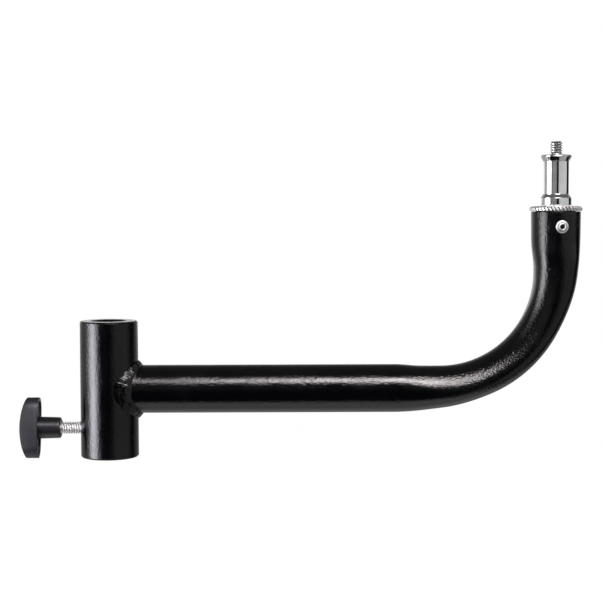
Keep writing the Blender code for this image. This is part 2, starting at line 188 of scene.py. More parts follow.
def makeWorld(studio):
    world = bpy.data.worlds.new("studio")
    scene.world = world
    world.use_nodes = True
    tree = world.node_tree
    tree.nodes.clear()
    start = Shade(tree)
    direction = start.node("ShaderNodeTexCoord", output="Generated")
    x, y, z = direction.parts()
    azimuth = start.math("ARCTAN2", x, y * -1) * (180 / pi)
    elevation = start.math("ARCSINE", z) * (180 / pi)
    light = studio["ambient"]
    for low, high, side, bottom, top, rise, brightness in studio["panels"].values():
        light = azimuth.within(low, high, side) * elevation.within(bottom, top, rise) \
            * brightness + light
    light = start.math("MAXIMUM", light, 0.0)
    seen = start.node("ShaderNodeLightPath", output="Is Camera Ray")
    clear = start.node("ShaderNodeLightPath", output="Is Transmission Ray")
    white = start.math("MAXIMUM", seen, clear)
    strength = white + (1 - white) * light
    background = start.node("ShaderNodeBackground", {}, {
        "Color": (1, 1, 1, 1), "Strength": strength})
    start.node("ShaderNodeOutputWorld", {}, {"Surface": background})


def makeLamp(name, place, target, width, height, brightness, colour, inGloss):
    # A soft box that is brightest in its middle and fades to its edges.
    data = bpy.data.lights.new(name, "AREA")
    data.shape = "RECTANGLE"
    data.size = width
    data.size_y = height
    data.energy = brightness * pi * width * height
    data.use_nodes = True
    data.node_tree.nodes.clear()
    start = Shade(data.node_tree)
    across, up = start.node("ShaderNodeNewGeometry", output="Parametric").parts()[:2]
    fade = across.within(0.25, 0.75, 0.25) * up.within(0.25, 0.75, 0.25)
    glow = start.node("ShaderNodeEmission", {}, {"Color": (*colour, 1), "Strength": fade})
    start.node("ShaderNodeOutputLight", {}, {"Surface": glow})
    lamp = bpy.data.objects.new(name, data)
    scene.collection.objects.link(lamp)
    lamp.location = place
    lamp.rotation_mode = "QUATERNION"
    lamp.rotation_quaternion = (Vector(target) - Vector(place)).to_track_quat("-Z", "Y")
    lamp.visible_camera = False
    lamp.visible_glossy = inGloss


makeWorld(studio)
for lampName, lampSettings in studio["lamps"].items():
    makeLamp(lampName, *lampSettings)
print("studio lit")


# Floor, below the arm and clear of it, since its stand isn't part of it

floorSettings = {
    "height": -0.12,
    "reach": 6.0,
    "glow": 0.895,  # light of its own, so that it stays pale under the soft lamps
    "paint": 0.20,
    "whiteFrom": 0.5,  # the shadow's part of the floor blends to plain white out here
    "whiteTo": 1.2,
}


def makeFloor(floor):
    bm = bmesh.new()
    bmesh.ops.create_circle(bm, cap_ends=True, segments=64, radius=floor["reach"],
                            matrix=Matrix.Translation((0, 0, floor["height"])))
    mesh = bpy.data.meshes.new("floor")
    bm.to_mesh(mesh)
    bm.free()
    piece = bpy.data.objects.new("floor", mesh)
    scene.collection.objects.link(piece)
    piece.visible_glossy = False

    material = bpy.data.materials.new("floor")
    material.use_nodes = True
    tree = material.node_tree
    tree.nodes.clear()
    start = Shade(tree)
    place = start.node("ShaderNodeTexCoord", output="Object")
    distance = start.node("ShaderNodeVectorMath", {"operation": "LENGTH"}, {0: place}, "Value")
    outside = distance.between(floor["whiteFrom"], floor["whiteTo"])
    white = start.node("ShaderNodeEmission", {}, {"Strength": 1.0})
    glow = start.node("ShaderNodeEmission", {}, {"Strength": floor["glow"]})
    paint = start.node("ShaderNodeBsdfDiffuse", {}, {"Color": (floor["paint"],) * 3 + (1,)})
    lit = start.node("ShaderNodeAddShader", {}, {0: glow, 1: paint})
    top = start.node("ShaderNodeMixShader", {}, {0: outside, 1: lit, 2: white})
    below = start.node("ShaderNodeNewGeometry", output="Backfacing")
    through = start.node("ShaderNodeBsdfTransparent")
    whole = start.node("ShaderNodeMixShader", {}, {0: below, 1: top, 2: through})
    start.node("ShaderNodeOutputMaterial", {}, {"Surface": whole})
    mesh.materials.append(material)


makeFloor(floorSettings)
print("floor laid")


# Finishes

def newFinish(name, colour, metallic=0.0, ior=1.5):
    # A Principled material with its plain values set, the start of its maths, the place on
    # the piece, and a way to link what varies.
    material = bpy.data.materials.new(name)
    material.use_nodes = True
    shader = material.node_tree.nodes["Principled BSDF"]
    shader.inputs["Base Color"].default_value = (*colour, 1)
    shader.inputs["Metallic"].default_value = metallic
    shader.inputs["IOR"].default_value = ior
    start = Shade(material.node_tree)
    place = start.node("ShaderNodeTexCoord", output="Object")

    def vary(name, value):
        material.node_tree.links.new(value.socket, shader.inputs[name])

    return material, start, place, vary


def tint(start, share, low, high):
    # Blends two colours, each plain or made by nodes, by a share from 0 to 1.
    low, high = (side if isinstance(side, Shade) else (*side, 1) for side in (low, high))
    return start.node("ShaderNodeMix", {"data_type": "RGBA"},
                      {"Factor": share, 6: low, 7: high}, 2)


paintLook = {
    "colour": (0.0006, 0.0006, 0.0009),
    "dusty": (0.0014, 0.0014, 0.0018),
    "ior": 1.42,
    "roughness": 0.12,
    "roughnessSpread": 0.08,
    "peelScale": 950,  # lumps of the orange peel in a metre
    "peelHeight": 0.18 * mm,
    "fineScale": 2900,
    "fineShare": 0.28,
    "waveScale": 45,
    "patchShare": 0.45,  # of the peel's height, that comes and goes
    "patchEdge": (0.30, 0.62),
}


def makePaint(name, look, lumps=1.0):
    # Gloss black enamel sprayed over steel: orange peel, finer grain, slow unevenness.
    material, start, place, vary = newFinish(name, look["colour"], ior=look["ior"])
    peel = place.grain(look["peelScale"], 1.5, 0.45)
    fine = place.grain(look["fineScale"], 1.0, 0.5)
    wave = place.grain(look["waveScale"], 3.0, 0.6)
    patch = wave.between(*look["patchEdge"]) * look["patchShare"] + (1 - look["patchShare"])
    height = (peel + fine * look["fineShare"]) * patch
    vary("Normal", height.bump(look["peelHeight"] * lumps))
    vary("Roughness", look["roughness"] + (fine - 0.5) * look["roughnessSpread"]
         + (wave - 0.5) * look["roughnessSpread"])
    vary("Base Color", tint(start, wave.between(0.45, 0.75), look["colour"], look["dusty"]))
    return material


metalLook = {
    "chrome": {"colour": (0.88, 0.88, 0.89), "roughness": 0.08, "spread": 0.08,
               "lines": 9000, "height": 0.0035 * mm, "grain": 900, "axis": "z"},
    "zinc": {"colour": (0.76, 0.76, 0.755), "roughness": 0.46, "spread": 0.16,
             "lines": 6000, "height": 0.006 * mm, "grain": 1400, "axis": "z"},
    "screw": {"colour": (0.95, 0.945, 0.94), "roughness": 0.38, "spread": 0.16,
              "lines": 7000, "height": 0.004 * mm, "grain": 1600, "axis": "x"},
    "brass": {"colour": (0.70, 0.53, 0.26), "roughness": 0.28, "spread": 0.20,
              "lines": 8000, "height": 0.006 * mm, "grain": 1500, "axis": "x"},
}
cloudyShade = 0.82  # of the colour, where plated metal is dull
# Painted shade: a dark colour laid into thread roots and knurl grooves, where shade falls.
paintedShadeLook = {
    "colour": (0.012, 0.011, 0.010),
    "raggedness": 0.3 * mm,
    "fade": 0.02 * mm,
}


def makeTurnedMetal(name, look, paintedShade=None):
    # Metal turned on a lathe: fine rings across its axis, and a slow cloudiness.
    # Painted shade in thread roots and grooves is set by a point on the axis, the two radii
    # between which it ends outward, and the place along the axis where it ends.
    material, start, place, vary = newFinish(name, look["colour"], metallic=1.0)
    axis = "xyz".index(look["axis"])
    along = place.parts()[axis]
    rings = along.lines(look["lines"], 0.7)
    cloud = place.grain(look["grain"], 3.0, 0.6)
    slow = place.grain(look["grain"] / 9, 2.0, 0.5)
    vary("Normal", (rings + cloud * 0.5).bump(look["height"]))
    vary("Roughness", look["roughness"] + (rings - 0.5) * look["spread"]
         + (cloud - 0.5) * look["spread"] * 0.6)
    dull = tuple(part * cloudyShade for part in look["colour"])
    colour = tint(start, slow.between(0.35, 0.7), look["colour"], dull)
    # Painted shade: in the roots and grooves the colour turns dark and not metallic.
    if paintedShade:
        centre, low, high, last = paintedShade
        away = start.node("ShaderNodeVectorMath", {"operation": "SUBTRACT"},
                          {0: place, 1: centre}).parts()
        away.pop(axis)
        out = start.math("SQRT", away[0] * away[0] + away[1] * away[1])
        ragged = out + (cloud - 0.5) * paintedShadeLook["raggedness"]
        unshaded = start.math("MAXIMUM", ragged.between(low, high),
                           along.between(last - paintedShadeLook["fade"], last))
        vary("Metallic", unshaded)
        colour = tint(start, unshaded, paintedShadeLook["colour"], colour)
    vary("Base Color", colour)
    return material


rivetLook = {
    "colour": (0.72, 0.72, 0.73),
    "dull": (0.52, 0.52, 0.53),
    "roughness": 0.46,
    "rings": 5200,
    "scuffScale": 1900,
    "height": 0.010 * mm,
    # Painted shade: the hole and its mouth are coloured black.
    "hole": (0.006, 0.006, 0.006),
    "holeShadeEdge": (1.22 * mm, 1.32 * mm),  # radii between which the hole's black painted shade ends
    "groove": 2.26 * mm,  # radius of the grey ring of painted shade, in the crease round the head's raised middle
    "grooveHalf": (0.12 * mm, 0.34 * mm),  # half its width, at full painted shade and in all
    "grooveShade": (0.10, 0.10, 0.10),
    "grooveShare": 0.8,
}


def makeRivetMetal(look, centre, turn):
    # Bright aluminium with rings round the rivet's own axis, from the setting tool's nose.
    material, start, place, vary = newFinish("rivet_aluminium", look["colour"], metallic=1.0)
    local = start.node("ShaderNodeMapping", {"vector_type": "TEXTURE"}, {
        "Vector": place, "Location": centre, "Rotation": (pi / 2, 0, turn)})
    x, y = local.parts()[:2]
    out = start.math("SQRT", x * x + y * y)
    rings = out.lines(look["rings"], 0.6)
    scuff = place.grain(look["scuffScale"], 3.0, 0.65)
    vary("Normal", (rings + scuff * 0.6).bump(look["height"]))
    vary("Roughness", look["roughness"] + (scuff - 0.5) * 0.25 + (rings - 0.5) * 0.2)
    # Painted shade: black and not metallic in the hole and at its mouth.
    unshaded = out.between(*look["holeShadeEdge"])
    vary("Metallic", unshaded)
    bright = tint(start, scuff.between(0.45, 0.75), look["colour"], look["dull"])
    # Painted shade: a grey ring in the crease round the head's raised middle.
    middle, (near, far) = look["groove"], look["grooveHalf"]
    groove = out.between(middle - far, middle - near) - out.between(middle + near, middle + far)
    bright = tint(start, groove * look["grooveShare"], bright, look["grooveShade"])
    vary("Base Color", tint(start, unshaded, look["hole"], bright))
    return material


stemLook = {
    "colour": (0.016, 0.016, 0.016),
    "rust": (0.007, 0.006, 0.006),
    "roughness": 0.55,
    "crystalScale": 4200,
    "crystalHeight": 0.08 * mm,
}


def makeStemSteel(look):
    # Bare steel where the rivet's stem broke off: coarse, dull and uneven.
    material, start, place, vary = newFinish("stem_steel", look["colour"], metallic=1.0)
    crystals = place.grain(look["crystalScale"], 4.0, 0.7)
    vary("Normal", crystals.bump(look["crystalHeight"]))
    vary("Roughness", look["roughness"] + (crystals - 0.5) * 0.4)
    vary("Base Color", tint(start, crystals.between(0.4, 0.65), look["colour"], look["rust"]))
    return material


plasticLook = {
    "colour": (0.0055, 0.0055, 0.0086),
    "paintedHubShade": (0.0035, 0.0035, 0.005),  # painted shade: the hub, which is polished in its mould, is coloured darker than the wing
    "worn": (0.0105, 0.0105, 0.0145),
    "roughness": 0.42,
    "smoothRoughness": 0.33,
    "smoothFrom": -37.2 * mm,  # along X, give or take the blend
    "smoothBlend": 0.3 * mm,
    "sparkScale": 3400,
    "sparkHeight": 0.045 * mm,
    "flowScale": 160,
    "scuffScale": 700,
}


def makePlastic(look):
    # Moulded nylon: a fine spark-eroded grain, slow flow marks and small scuffs.
    material, start, place, vary = newFinish("knob_plastic", look["colour"])
    spark = place.grain(look["sparkScale"], 3.0, 0.65)
    flow = place.grain(look["flowScale"], 3.0, 0.6, 0.8)
    scuff = place.grain(look["scuffScale"], 4.0, 0.75)
    vary("Normal", (spark + flow * 0.6).bump(look["sparkHeight"]))
    hub = place.parts()[0].between(look["smoothFrom"] - look["smoothBlend"],
                                   look["smoothFrom"] + look["smoothBlend"])
    vary("Roughness", look["roughness"] + (spark - 0.5) * 0.2 + (flow - 0.5) * 0.12
         - hub * (look["roughness"] - look["smoothRoughness"]))
    textured = tint(start, scuff.between(0.5, 0.75), look["colour"], look["worn"])
    # Painted shade: the hub is coloured darker than the wing.
    vary("Base Color", tint(start, hub, textured, look["paintedHubShade"]))
    return material


print("finishes mixed")


# Mesh tools

def ease(value, middle, halfRun):
    # Goes smoothly from 0 to 1 across the middle.
    share = min(max((value - middle + halfRun) / (2 * halfRun), 0.0), 1.0)
    return share * share * (3 - 2 * share)


def corner(centre, radius, start, end, steps=4):
    # Points of a rounded corner in a turned profile, from one angle to another in degrees.
    angles = [radians(start + (end - start) * step / steps) for step in range(steps + 1)]
    return [(centre[0] + radius * cos(a), centre[1] + radius * sin(a)) for a in angles]


def chain(bm, points, closed=False):
    verts = [bm.verts.new(point) for point in points]
    edges = [bm.edges.new(pair) for pair in zip(verts, verts[1:])]
    if closed:
        edges.append(bm.edges.new((verts[-1], verts[0])))
    return verts + edges


longRun, shortRun = 1.0 * mm, 0.1 * mm


def supported(profile, closed):
    # Long straight runs get a short one at each end, so that their shading stays flat.
    ends = profile[1:] + profile[:1] if closed else profile[1:]
    points = []
    for start, end in zip(profile, ends):
        points.append(start)
        run = Vector(end) - Vector(start)
        if run.length > longRun:
            step = run.normalized() * shortRun
            points += [Vector(start) + step, Vector(end) - step]
    return points if closed else points + [profile[-1]]


def tidy(bm):
    bmesh.ops.remove_doubles(bm, verts=bm.verts, dist=samePlace)
    bmesh.ops.recalc_face_normals(bm, faces=bm.faces)


def spinRound(bm, geometry, axis, steps):
    bmesh.ops.spin(bm, geom=geometry, axis=axis, cent=(0, 0, 0), dvec=(0, 0, 0),
                   angle=2 * pi, steps=steps, use_merge=True, use_duplicate=False)
    tidy(bm)


def turned(profile, steps, closed=False):
    # Spins (radius, height) points round Z.
    bm = bmesh.new()
    profile = supported(profile, closed)
    geometry = chain(bm, [(radius, 0, height) for radius, height in profile], closed)
    spinRound(bm, geometry, (0, 0, 1), steps)
    return bm


def bar(radius, low, high, steps=48):
    return turned([(0, low), (radius, low), (radius, high), (0, high)], steps)


def block(length, width, low, high):
    bm = bmesh.new()
    bmesh.ops.create_cube(bm, size=1)
    bmesh.ops.scale(bm, verts=bm.verts, vec=(length, width, high - low))
    bmesh.ops.translate(bm, verts=bm.verts, vec=(0, 0, (low + high) / 2))
    return bm


def bevel(bm, edges, width, segments):
    bmesh.ops.bevel(bm, geom=edges, offset=width, segments=segments, profile=0.5,
                    affect="EDGES", clamp_overlap=True, material=-1)


def addMesh(name, bm, place=None):
    if place is not None:
        bm.transform(place)
    mesh = bpy.data.meshes.new(name)
    bm.to_mesh(mesh)
    bm.free()
    piece = bpy.data.objects.new(name, mesh)
    scene.collection.objects.link(piece)
    return piece


def combine(piece, bm, operation="DIFFERENCE", place=None):
    # Cuts or joins a second solid, and keeps the result as the piece's mesh.
    tool = addMesh("tool", bm, place)
    change = piece.modifiers.new("tool", "BOOLEAN")
    change.operation = operation
    change.solver = "EXACT"
    change.object = tool
    keepModifiers(piece)
    bpy.data.objects.remove(tool)


def keepModifiers(piece):
    bpy.context.view_layer.update()
    ready = piece.evaluated_get(bpy.context.evaluated_depsgraph_get())
    mesh = bpy.data.meshes.new_from_object(ready)
    piece.modifiers.clear()
    piece.data = mesh


def roundEdges(piece, width, segments, angle):
    change = piece.modifiers.new("edges", "BEVEL")
    change.width = width
    change.segments = segments
    change.limit_method = "ANGLE"
    change.angle_limit = radians(angle)
    keepModifiers(piece)


def dress(piece, material, body, slot, *nodes, sharp=35):
    # Gives a finished mesh its smooth shading, its material and its body, and hides the imported
    # parts that it stands in for.
    mesh = piece.data
    mesh.shade_smooth()
    mesh.set_sharp_from_angle(angle=radians(sharp))
    mesh.materials.clear()
    mesh.materials.append(material)
    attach(piece, body)
    if nodes:
        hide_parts(*nodes)
    print(piece.name, "made,", len(mesh.polygons), "faces")


# Places that several pieces share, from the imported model

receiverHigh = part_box("receiver")[1]
receiverRadius = receiverHigh.x
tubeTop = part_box("arm_tube")[1].z
studLow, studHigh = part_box("spigot")
studAxis = (studLow.x + studHigh.x) / 2
clampHeight = 15.1 * mm
wingTurn = radians(-11)
clampPlace = (Matrix.Translation((-receiverRadius, 0, clampHeight))
              @ Matrix.Rotation(pi / 2, 4, "Y") @ Matrix.Rotation(wingTurn, 4, "Z"))
rivetHeight = tubeTop - 7.9 * mm
rivetTurn = radians(3.6)
rivetPlace = (Matrix.Translation((studAxis, 0, rivetHeight))
              @ Matrix.Rotation(rivetTurn, 4, "Z") @ Matrix.Rotation(pi / 2, 4, "X"))
studPlace = Matrix.Translation((studAxis, 0, 0))

blackPaint = makePaint("black_paint", paintLook)
weldPaint = makePaint("weld_paint", paintLook, lumps=0.9)


# Receiver socket

receiverShape = {
    "bore": 16.5 * mm,
    "boreChamfer": 1.0 * mm,
    "chamfer": 0.75 * mm,  # on the outer edges
    "rim": 0.22 * mm,  # rounding on both sides of it
    "innerRim": 0.12 * mm,
    "screwHole": 6.95 * mm,
    "holeChamfer": 0.35 * mm,
    "holeLead": 0.3 * mm,  # how much deeper its cone runs, since the wall is round
    "steps": 192,
}


def makeReceiver(shape):
    outer, top = receiverRadius, receiverHigh.z
    inner = shape["bore"] / 2
    rim, soft, cut = shape["rim"], shape["innerRim"], shape["boreChamfer"]
    edge = shape["chamfer"]
    bm = turned([
        (inner + cut + soft, top),
        *corner((outer - edge, top - rim), rim, 90, 45, 3),
        *corner((outer - rim, top - edge), rim, 45, 0, 3),
        *corner((outer - rim, edge), rim, 0, -45, 3),
        *corner((outer - edge, rim), rim, -45, -90, 3),
        (inner + cut + soft, 0),
        (inner + cut - soft / 2, soft),
        (inner + soft / 2, cut - soft),
        (inner, cut + soft),
        (inner, top - cut - soft),
        (inner + soft / 2, top - cut + soft),
        (inner + cut - soft / 2, top - soft),
    ], shape["steps"], closed=True)
    piece = addMesh("socket_receiver", bm)
    hole = shape["screwHole"] / 2
    wide = hole + shape["holeChamfer"]
    face = -outer + shape["holeChamfer"]
    cutter = turned([(0, -outer - cutOver), (wide + cutOver, -outer - cutOver),
                     (hole, face + shape["holeLead"]), (hole, -inner / 2), (0, -inner / 2)], 64)
    combine(piece, cutter, place=Matrix.Translation((0, 0, clampHeight))
            @ Matrix.Rotation(pi / 2, 4, "Y"))
    dress(piece, blackPaint, "arm", "black_paint", "receiver")


makeReceiver(receiverShape)


# Arm tube: straight, bent upward over a former, and swaged wider at its upper end

tubeShape = {
    "radius": 12.5 * mm,
    "wall": 2.0 * mm,
    "height": 35.3 * mm,  # of its axis
    "bendRadius": 60.0 * mm,
    "outerFlattening": 4.1 * mm,
    "sideBulge": 0.9 * mm,  # at the bend's start
    "sideFlattening": 0.15 * mm,  # at its end
    "squareness": 0.60,  # added to the section's exponent of 2 at the bend's end
    "innerSquareness": 0.75,
    "squaringMiddle": 0.72,  # of the bend's length
    "squaringRun": 0.30,
    "flankPress": (0.75 * mm, 0.80 * mm),  # between sides and inside, at start and end
    "flankMiddle": (radians(25), radians(38)),  # from the side
    "flankWidth": radians(27),
    "flankIn": (-15.0 * mm, 9.0 * mm),  # middle and half of its run, from the start
    "flankOut": (7.0 * mm, 6.0 * mm),  # and from the end
    "innerPress": 0.85 * mm,
    "innerPressGrowth": 0.45 * mm,
    "flatteningRun": 24.0 * mm,
    "recoveryRun": 24.0 * mm,
    "recoveryLead": 5.5 * mm,
    "pressLead": 16.5 * mm,
    "pressRun": 7.0 * mm,
    "pressRelease": 10.0 * mm,
    "mouth": 12.825 * mm,  # radius at the upper end
    "swageLength": 30.0 * mm,
    "edge": 0.3 * mm,
    "seat": 0.3 * mm,  # round the receiver and the rivet
    "rivetHole": 1.9 * mm,
    "around": 112,
    "step": 1.5 * mm,  # between rings of the shaped part
    "plainRings": 5,  # on the straight part up to it
    "shapedLead": 27.0 * mm,  # length of the shaped part before the bend
    "rivetCut": 3.0 * mm,  # depth from the mouth's radius
}


bendStart = studAxis - tubeShape["bendRadius"]
bendHeight = tubeShape["height"] + tubeShape["bendRadius"]
bendLength = tubeShape["bendRadius"] * pi / 2


def tubeFrame(distance, shape):
    # Centre and direction to the bend's outside, at a distance from the bend's start.
    if distance <= 0:
        return Vector((bendStart + distance, 0, shape["height"])), Vector((0, 0, -1))
    if distance >= bendLength:
        return Vector((studAxis, 0, bendHeight + distance - bendLength)), Vector((1, 0, 0))
    angle = distance / shape["bendRadius"]
    outward = Vector((sin(angle), 0, -cos(angle)))
    return Vector((bendStart, 0, bendHeight)) + shape["bendRadius"] * outward, outward


def tubeReach(distance, shape):
    # Reach of the section towards the inside, the outside and the sides of the bend, the
    # exponents of its outline inside and outside, where 2 is an ellipse and more is
    # squarer, and the depth and middle of what is pressed off its flanks.
    top = bendLength + tubeTop - bendHeight
    flattened = (ease(distance, 0, shape["flatteningRun"])
                 - ease(distance, bendLength - shape["recoveryLead"], shape["recoveryRun"]))
    pressed = (ease(distance, -shape["pressLead"], shape["pressRun"])
               - ease(distance, bendLength + shape["pressRelease"], shape["pressRun"]))
    swaged = ease(distance, top - shape["swageLength"] / 2, shape["swageLength"] / 2)
    along = min(max(distance / bendLength, 0.0), 1.0)
    radius = shape["radius"] + (shape["mouth"] - shape["radius"]) * swaged
    press = shape["innerPress"] + shape["innerPressGrowth"] * along
    late = ease(distance / bendLength, shape["squaringMiddle"], shape["squaringRun"])
    side = shape["sideBulge"] - (shape["sideBulge"] + shape["sideFlattening"]) * late
    squared = late * max(flattened, pressed)
    first, last = shape["flankPress"]
    low, high = shape["flankMiddle"]
    (out, outRun), inRun = shape["flankOut"], shape["flankIn"]
    flank = (first + (last - first) * late) * (ease(distance, *inRun)
                                               - ease(distance, bendLength + out, outRun))
    return (radius - press * pressed,
            radius - shape["outerFlattening"] * flattened,
            radius + side * flattened,
            2 + shape["innerSquareness"] * squared,
            2 + shape["squareness"] * squared,
            flank, low + (high - low) * late)


def tubeDistance(point, shape):
    # How far along the tube a point of the plain swept tube lies, from the bend's start.
    if point.x <= bendStart and point.z < bendHeight:
        return point.x - bendStart
    if point.z >= bendHeight:
        return bendLength + point.z - bendHeight
    return shape["bendRadius"] * atan2(point.x - bendStart, bendHeight - point.z)


def sweep(bm, geometry, steps, angle=0.0, centre=(0, 0, 0), move=(0, 0, 0)):
    swept = bmesh.ops.spin(bm, geom=geometry, axis=(0, -1, 0), cent=centre,
                           dvec=Vector(move) / steps, angle=angle, steps=steps,
                           use_merge=False, use_duplicate=False)
    return swept["geom_last"]


def makeArmTube(shape):
    shaped, step = shape["shapedLead"], shape["step"]
    bm = bmesh.new()
    bmesh.ops.create_circle(bm, cap_ends=False, segments=shape["around"],
                            radius=shape["radius"],
                            matrix=Matrix.Translation((0, 0, shape["height"]))
                            @ Matrix.Rotation(pi / 2, 4, "Y"))
    end = sweep(bm, bm.verts[:] + bm.edges[:], shape["plainRings"],
                move=(bendStart - shaped, 0, 0))
    end = sweep(bm, end, round(shaped / step), move=(shaped, 0, 0))
    end = sweep(bm, end, round(bendLength / step), angle=pi / 2, centre=(bendStart, 0, bendHeight))
    sweep(bm, end, round((tubeTop - bendHeight) / step), move=(0, 0, tubeTop - bendHeight))
    tidy(bm)
    for vert in bm.verts:
        distance = tubeDistance(vert.co, shape)
        centre, outward = tubeFrame(distance, shape)
        inside, outside, side, innerPower, outerPower, flank, middle = \
            tubeReach(distance, shape)
        across = (vert.co - centre).dot(outward) / shape["radius"]
        level = vert.co.y / shape["radius"]
        power = outerPower if across > 0 else innerPower
        square = (abs(across) ** power + abs(level) ** power) ** (-1 / power)
        reach = outside if across > 0 else inside
        turn = (atan2(-across, abs(level)) - middle) / shape["flankWidth"]
        square *= 1 - flank * exp(-turn * turn) / shape["radius"]
        vert.co = centre + outward * across * square * reach \
            + Vector((0, level * square * side, 0))
    piece = addMesh("bent_tube", bm)
    wall = piece.modifiers.new("wall", "SOLIDIFY")
    wall.thickness = shape["wall"]
    wall.offset = -1
    wall.use_even_offset = True
    roundEdges(piece, shape["edge"], 3, 60)
    combine(piece, bar(receiverRadius + shape["seat"], -cutOver, receiverHigh.z + cutOver,
                       receiverShape["steps"]))
    combine(piece, bar(shape["rivetHole"], shape["mouth"] - shape["rivetCut"],
                       shape["mouth"] + cutOver), place=rivetPlace)
    dress(piece, blackPaint, "arm", "black_paint", "arm_tube")


makeArmTube(tubeShape)


# Weld bead: a fillet on the saddle where tube and receiver meet, laid in small puddles

weldShape = {
    "throat": 1.62 * mm,  # from the corner to the bead's face, the same all round
    "unevenThroat": 0.22 * mm,
    "unevenScale": 190,
    "crown": 0.02 * mm,
    "sideCrown": 0.30 * mm,  # more of it on the tube's sides
    "ripple": 0.055 * mm,
    "ripples": 74,
    "trail": 0.6,  # of a ripple, by which its middle lags
    "wander": 1.1,  # of a ripple, by which it leaves its place
    "wanderScale": 260,
    "lump": 0.26 * mm,
    "lumpScale": 420,
    "spatter": 0.10 * mm,
    "spatterScale": 1500,
    "undercut": 0.25 * mm,  # groove beside the bead, on the tube
    "undercutIn": (0.84, 0.10),  # middle and half of its run, in shares of the face
    "undercutOut": (0.97, 0.03),
    "edgeRise": 1.8,  # how fast the roughness grows from the face's edges
    "wall": 0.15,  # share of the section that lies on each of its two walls
    "around": 432,
    "section": 30,
}


def weldPoint(turn, share, shape):
    # A point of the bead. Turn goes round the tube from its top, and share goes round the
    # section: up the receiver's wall, on over the crown, and back along the tube.
    radius = tubeShape["radius"] + tubeShape["seat"]
    wall = receiverRadius + tubeShape["seat"]
    side = radius * sin(turn)
    deep = Vector((sqrt(wall * wall - side * side), side,
                   tubeShape["height"] + radius * cos(turn)))
    fromReceiver = Vector((deep.x, deep.y, 0)) / wall
    fromTube = Vector((0, sin(turn), cos(turn)))
    overlap = fromReceiver.dot(fromTube)
    upReceiver = (fromTube - overlap * fromReceiver).normalized()
    alongTube = (fromReceiver - overlap * fromTube).normalized()
    outward = (fromReceiver + fromTube).normalized()

    throat = shape["throat"] + noise.noise(deep * shape["unevenScale"]) * shape["unevenThroat"]
    leg = throat / sqrt((1 + upReceiver.dot(alongTube)) / 2)
    toeReceiver = deep + upReceiver * leg
    flat = Vector((toeReceiver.x, toeReceiver.y)).normalized() * wall
    toeReceiver = Vector((flat.x, flat.y, toeReceiver.z))
    toeTube = deep + alongTube * leg
    flat = Vector((toeTube.y, toeTube.z - tubeShape["height"])).normalized() * radius
    toeTube = Vector((toeTube.x, flat.x, flat.y + tubeShape["height"]))
    onWall = shape["wall"]
    if share < onWall:
        return deep.lerp(toeReceiver, share / onWall)
    if share > 1 - onWall:
        return toeTube.lerp(deep, (share - 1 + onWall) / onWall)
    across = (share - onWall) / (1 - 2 * onWall)
    bow = 4 * across * (1 - across)
    point = toeReceiver.lerp(toeTube, across)
    beat = turn * shape["ripples"] / (2 * pi) - shape["trail"] * bow \
        + noise.noise(deep * shape["wanderScale"]) * shape["wander"]
    scallop = abs(sin(pi * beat)) * 2 - 1
    lump = noise.noise(point * shape["lumpScale"])
    pit = noise.noise(point * shape["spatterScale"])
    crown = (shape["crown"] + shape["sideCrown"] * sin(turn) ** 2) * bow
    rise = crown + (shape["ripple"] * scallop + shape["lump"] * lump
                    + shape["spatter"] * pit) * min(bow * shape["edgeRise"], 1)
    return point + outward * (rise - shape["undercut"] * ease(across, *shape["undercutIn"])
                              * (1 - ease(across, *shape["undercutOut"])))


def makeWeld(shape):
    # Starts as a plain ring spun round the tube's axis; each vertex then moves to the
    # bead's surface by its turn and its place in the section.
    start, thin = 10 * mm, 2 * mm  # radii of the ring and of its section
    bm = bmesh.new()
    section = []
    for index in range(shape["section"]):
        angle = 2 * pi * index / shape["section"]
        section.append((thin * cos(angle), 0, start + thin * sin(angle)))
    spinRound(bm, chain(bm, section, closed=True), (1, 0, 0), shape["around"])
    for vert in bm.verts:
        turn = atan2(vert.co.y, vert.co.z)
        out = sqrt(vert.co.y ** 2 + vert.co.z ** 2) - start
        share = (atan2(out, vert.co.x) / (2 * pi)) % 1.0
        vert.co = weldPoint(turn, share, shape)
    # On so thin a ring the recalculation can take the inside for the outside.
    bmesh.ops.recalc_face_normals(bm, faces=bm.faces)
    if bm.calc_volume(signed=True) < 0:
        bmesh.ops.reverse_faces(bm, faces=bm.faces)
    piece = addMesh("weld_fillet", bm)
    dress(piece, weldPaint, "arm", "black_paint", "weld_bead", sharp=60)


makeWeld(weldShape)


# End plug: its knurled flange is the bright ring on the tube's mouth

plugShape = {
    "flangeLow": 0.3 * mm,  # above the tube's end
    "flange": 2.6 * mm,  # its thickness
    "outer": 13.5 * mm,
    "teeth": 42,
    "toothDepth": 0.74 * mm,
    "pointsInTooth": 12,
    "grooveHalf": 0.44,  # of a tooth's pitch, at the groove's mouth
    "slant": -0.8,  # teeth that a groove crosses on its way up
    "landRings": (0.25, 0.40),  # shares of the thickness
    "shoulder": (1.1 * mm, 0.80 * mm),  # in and up from the teeth, to the dome
    "shoulderBreak": (0.35, 0.60),  # shares of it, where its slope changes
    "dome": (2.4 * mm, 0.30 * mm),  # in and up from the shoulder, to the flat top
    "lowChamfer": 0.20 * mm,
    "bodyRadius": 10.2 * mm,
    "bodyDepth": 15.2 * mm,
    "bodyChamfer": 1.0 * mm,
    "bore": 4.3 * mm,
    "rivetHole": 1.9 * mm,
    "rivetHoleEnd": 6.2 * mm,  # from the stud's axis
    "paintedShade": (12.92 * mm, 13.12 * mm),  # radii between which the painted shade in the grooves ends
    "paintedShadeTop": 0.75,  # share of the flange's thickness, up to which the grooves get painted shade
}


